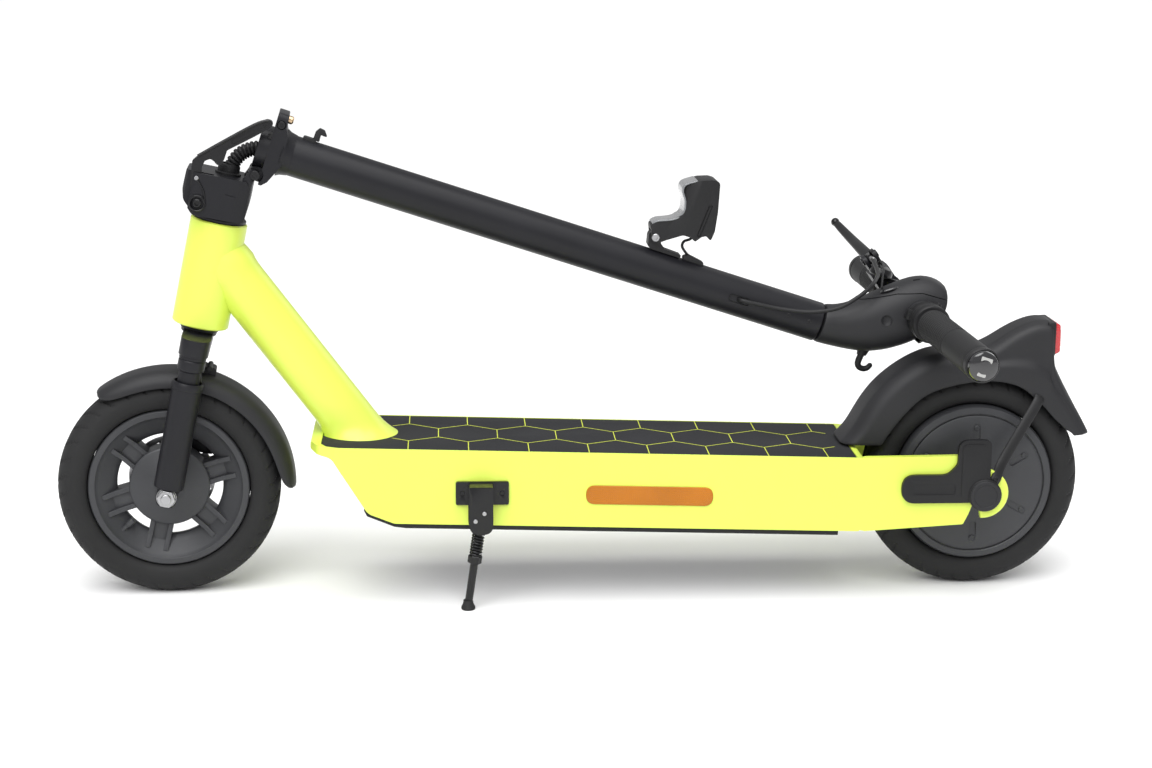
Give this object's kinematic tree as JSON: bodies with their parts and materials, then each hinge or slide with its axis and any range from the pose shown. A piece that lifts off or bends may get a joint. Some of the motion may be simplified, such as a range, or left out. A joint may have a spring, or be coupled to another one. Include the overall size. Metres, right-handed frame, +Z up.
{
  "type": "electric kick scooter",
  "caption": "Folding electric kick scooter with a sprung fork, hub motor, disc brake, kickstand and a stem that folds down over the deck.",
  "frame": {"origin": "on the ground under the rear axle, on the flat that the rear tyre stands on", "axes": "+X points to the rear, +Y to the rider's right and +Z up; the scooter stands on its wheels, folded, with the kickstand out"},
  "size_m": [1.1965, 0.5711, 0.5577],
  "materials": {
    "neon_paint": "satin fluorescent yellow-green powder coat",
    "black_paint": "matt black powder coat",
    "black_plastic": "fine-grained black moulding",
    "tyre_rubber": "moulded black rubber",
    "grip_rubber": "soft black rubber",
    "mat_rubber": "dark grey rubber with a hexagon pattern",
    "steel": "zinc-plated steel",
    "dark_alloy": "black anodised alloy",
    "amber_reflector": "clear amber reflector",
    "red_lens": "clear red lens",
    "display_glass": "glossy black window",
    "clear_lens": "clear lens over a pale reflector",
    "pack_wrap": "blue heat-shrink wrap"
  },
  "bodies": {
    "frame": {"head_tube": "neon_paint", "down_tube": "neon_paint", "deck_shell": "neon_paint", "deck_mat": "mat_rubber", "bottom_cover": "black_plastic", "battery_pack": "pack_wrap", "motor_controller": "dark_alloy", "side_reflector_left": "amber_reflector", "side_reflector_right": "amber_reflector", "rear_arm_left": "neon_paint", "rear_arm_right": "neon_paint", "axle_cover_left": "black_plastic", "axle_cover_right": "black_plastic", "rear_axle": "steel", "rear_mudguard": "black_plastic", "tail_light": "red_lens", "mudguard_stay_left": "black_plastic", "mudguard_stay_right": "black_plastic", "headset_bearing_top": "steel", "headset_bearing_bottom": "steel", "kickstand_bracket": "black_paint"},
    "kickstand": {"kickstand_leg": "black_paint", "kickstand_spring": "steel", "kickstand_foot": "grip_rubber"},
    "steering": {"steerer_tube": "dark_alloy", "fork_crown": "black_paint", "fork_stanchion_left": "black_paint", "fork_stanchion_right": "black_paint", "hinge_block": "black_paint", "hinge_pin": "steel", "cable_conduit": "black_plastic"},
    "fold_lever": {"fold_lever": "black_paint"},
    "fork_lower": {"fork_leg_left": "black_paint", "fork_leg_right": "black_paint", "front_axle": "steel", "front_fender": "black_plastic", "brake_caliper": "black_paint"},
    "front_wheel": {"front_tyre": "tyre_rubber", "front_rim": "dark_alloy", "brake_disc": "steel"},
    "rear_wheel": {"rear_tyre": "tyre_rubber", "motor_hub": "dark_alloy"},
    "stem": {"stem_flange": "black_paint", "stem_tube": "black_paint", "handlebar_head": "black_plastic", "display": "display_glass", "bag_hook": "black_plastic", "handlebar": "black_paint", "grip_left": "grip_rubber", "grip_right": "grip_rubber", "end_indicator_left": "clear_lens", "end_indicator_right": "clear_lens", "brake_perch": "black_paint", "bell": "black_plastic", "brake_cable": "black_plastic", "lamp_bracket": "black_plastic"},
    "brake_lever": {"brake_lever": "black_paint"},
    "throttle": {"throttle_paddle": "black_plastic"},
    "lamp": {"lamp": "black_plastic"},
    "power_button": {"power_button": "black_plastic"}
  },
  "joints": [
    {"name": "steering_turn", "type": "hinge", "parent": "frame", "child": "steering", "pos_m": [-0.9335, 0, 0.127], "axis": [0.2079, 0, 0.9781], "range_deg": [-47.5, 42.5]},
    {"name": "fold_hinge", "type": "hinge", "parent": "steering", "child": "stem", "pos_m": [-0.82623, 0.0013, 0.48799], "axis": [0.0427, -0.999, -0.0091], "range_deg": [0, 96.2], "deforming": ["cable_conduit"]},
    {"name": "fold_lever_pivot", "type": "hinge", "parent": "steering", "child": "fold_lever", "pos_m": [-0.88885, -0.03063, 0.45867], "axis": [0.0427, -0.999, -0.0091], "range_deg": [0, 100], "stiffness_Nm_per_rad": 0.3, "springref_deg": -34.38},
    {"name": "fork_slide", "type": "slide", "parent": "steering", "child": "fork_lower", "axis": [0.2079, 0, 0.9781], "range_m": [0, 0.02], "stiffness_N_per_m": 8000, "springref_m": -0.02},
    {"name": "front_wheel_spin", "type": "hinge", "parent": "fork_lower", "child": "front_wheel", "pos_m": [-0.9335, 0, 0.127], "axis": [-0.0427, 0.999, 0.0091], "continuous": true},
    {"name": "rear_wheel_spin", "type": "hinge", "parent": "frame", "child": "rear_wheel", "pos_m": [0, 0, 0.127], "axis": [0, 1, 0], "continuous": true},
    {"name": "kickstand_pivot", "type": "hinge", "parent": "frame", "child": "kickstand", "pos_m": [-0.5775, -0.091, 0.1], "axis": [0, -1, 0], "range_deg": [0, 95]},
    {"name": "brake_lever_pivot", "type": "hinge", "parent": "stem", "child": "brake_lever", "pos_m": [-0.09757, 0.14667, 0.36251], "axis": [-0.8192, -0.0298, -0.5727], "range_deg": [0, 18], "stiffness_Nm_per_rad": 1, "springref_deg": -11.46},
    {"name": "throttle_turn", "type": "hinge", "parent": "stem", "child": "throttle", "pos_m": [-0.05865, -0.02641, 0.31584], "axis": [-0.0427, 0.999, 0.0091], "range_deg": [0, 30], "stiffness_Nm_per_rad": 0.1, "springref_deg": -28.65},
    {"name": "lamp_tilt", "type": "hinge", "parent": "stem", "child": "lamp", "pos_m": [-0.37413, 0.02131, 0.41087], "axis": [0.0427, -0.999, -0.0091], "range_deg": [-10, 60]},
    {"name": "power_button_press", "type": "slide", "parent": "stem", "child": "power_button", "axis": [-0.5556, -0.0313, 0.8308], "range_m": [0, 0.0014], "stiffness_N_per_m": 400, "springref_m": -0.001}
  ]
}
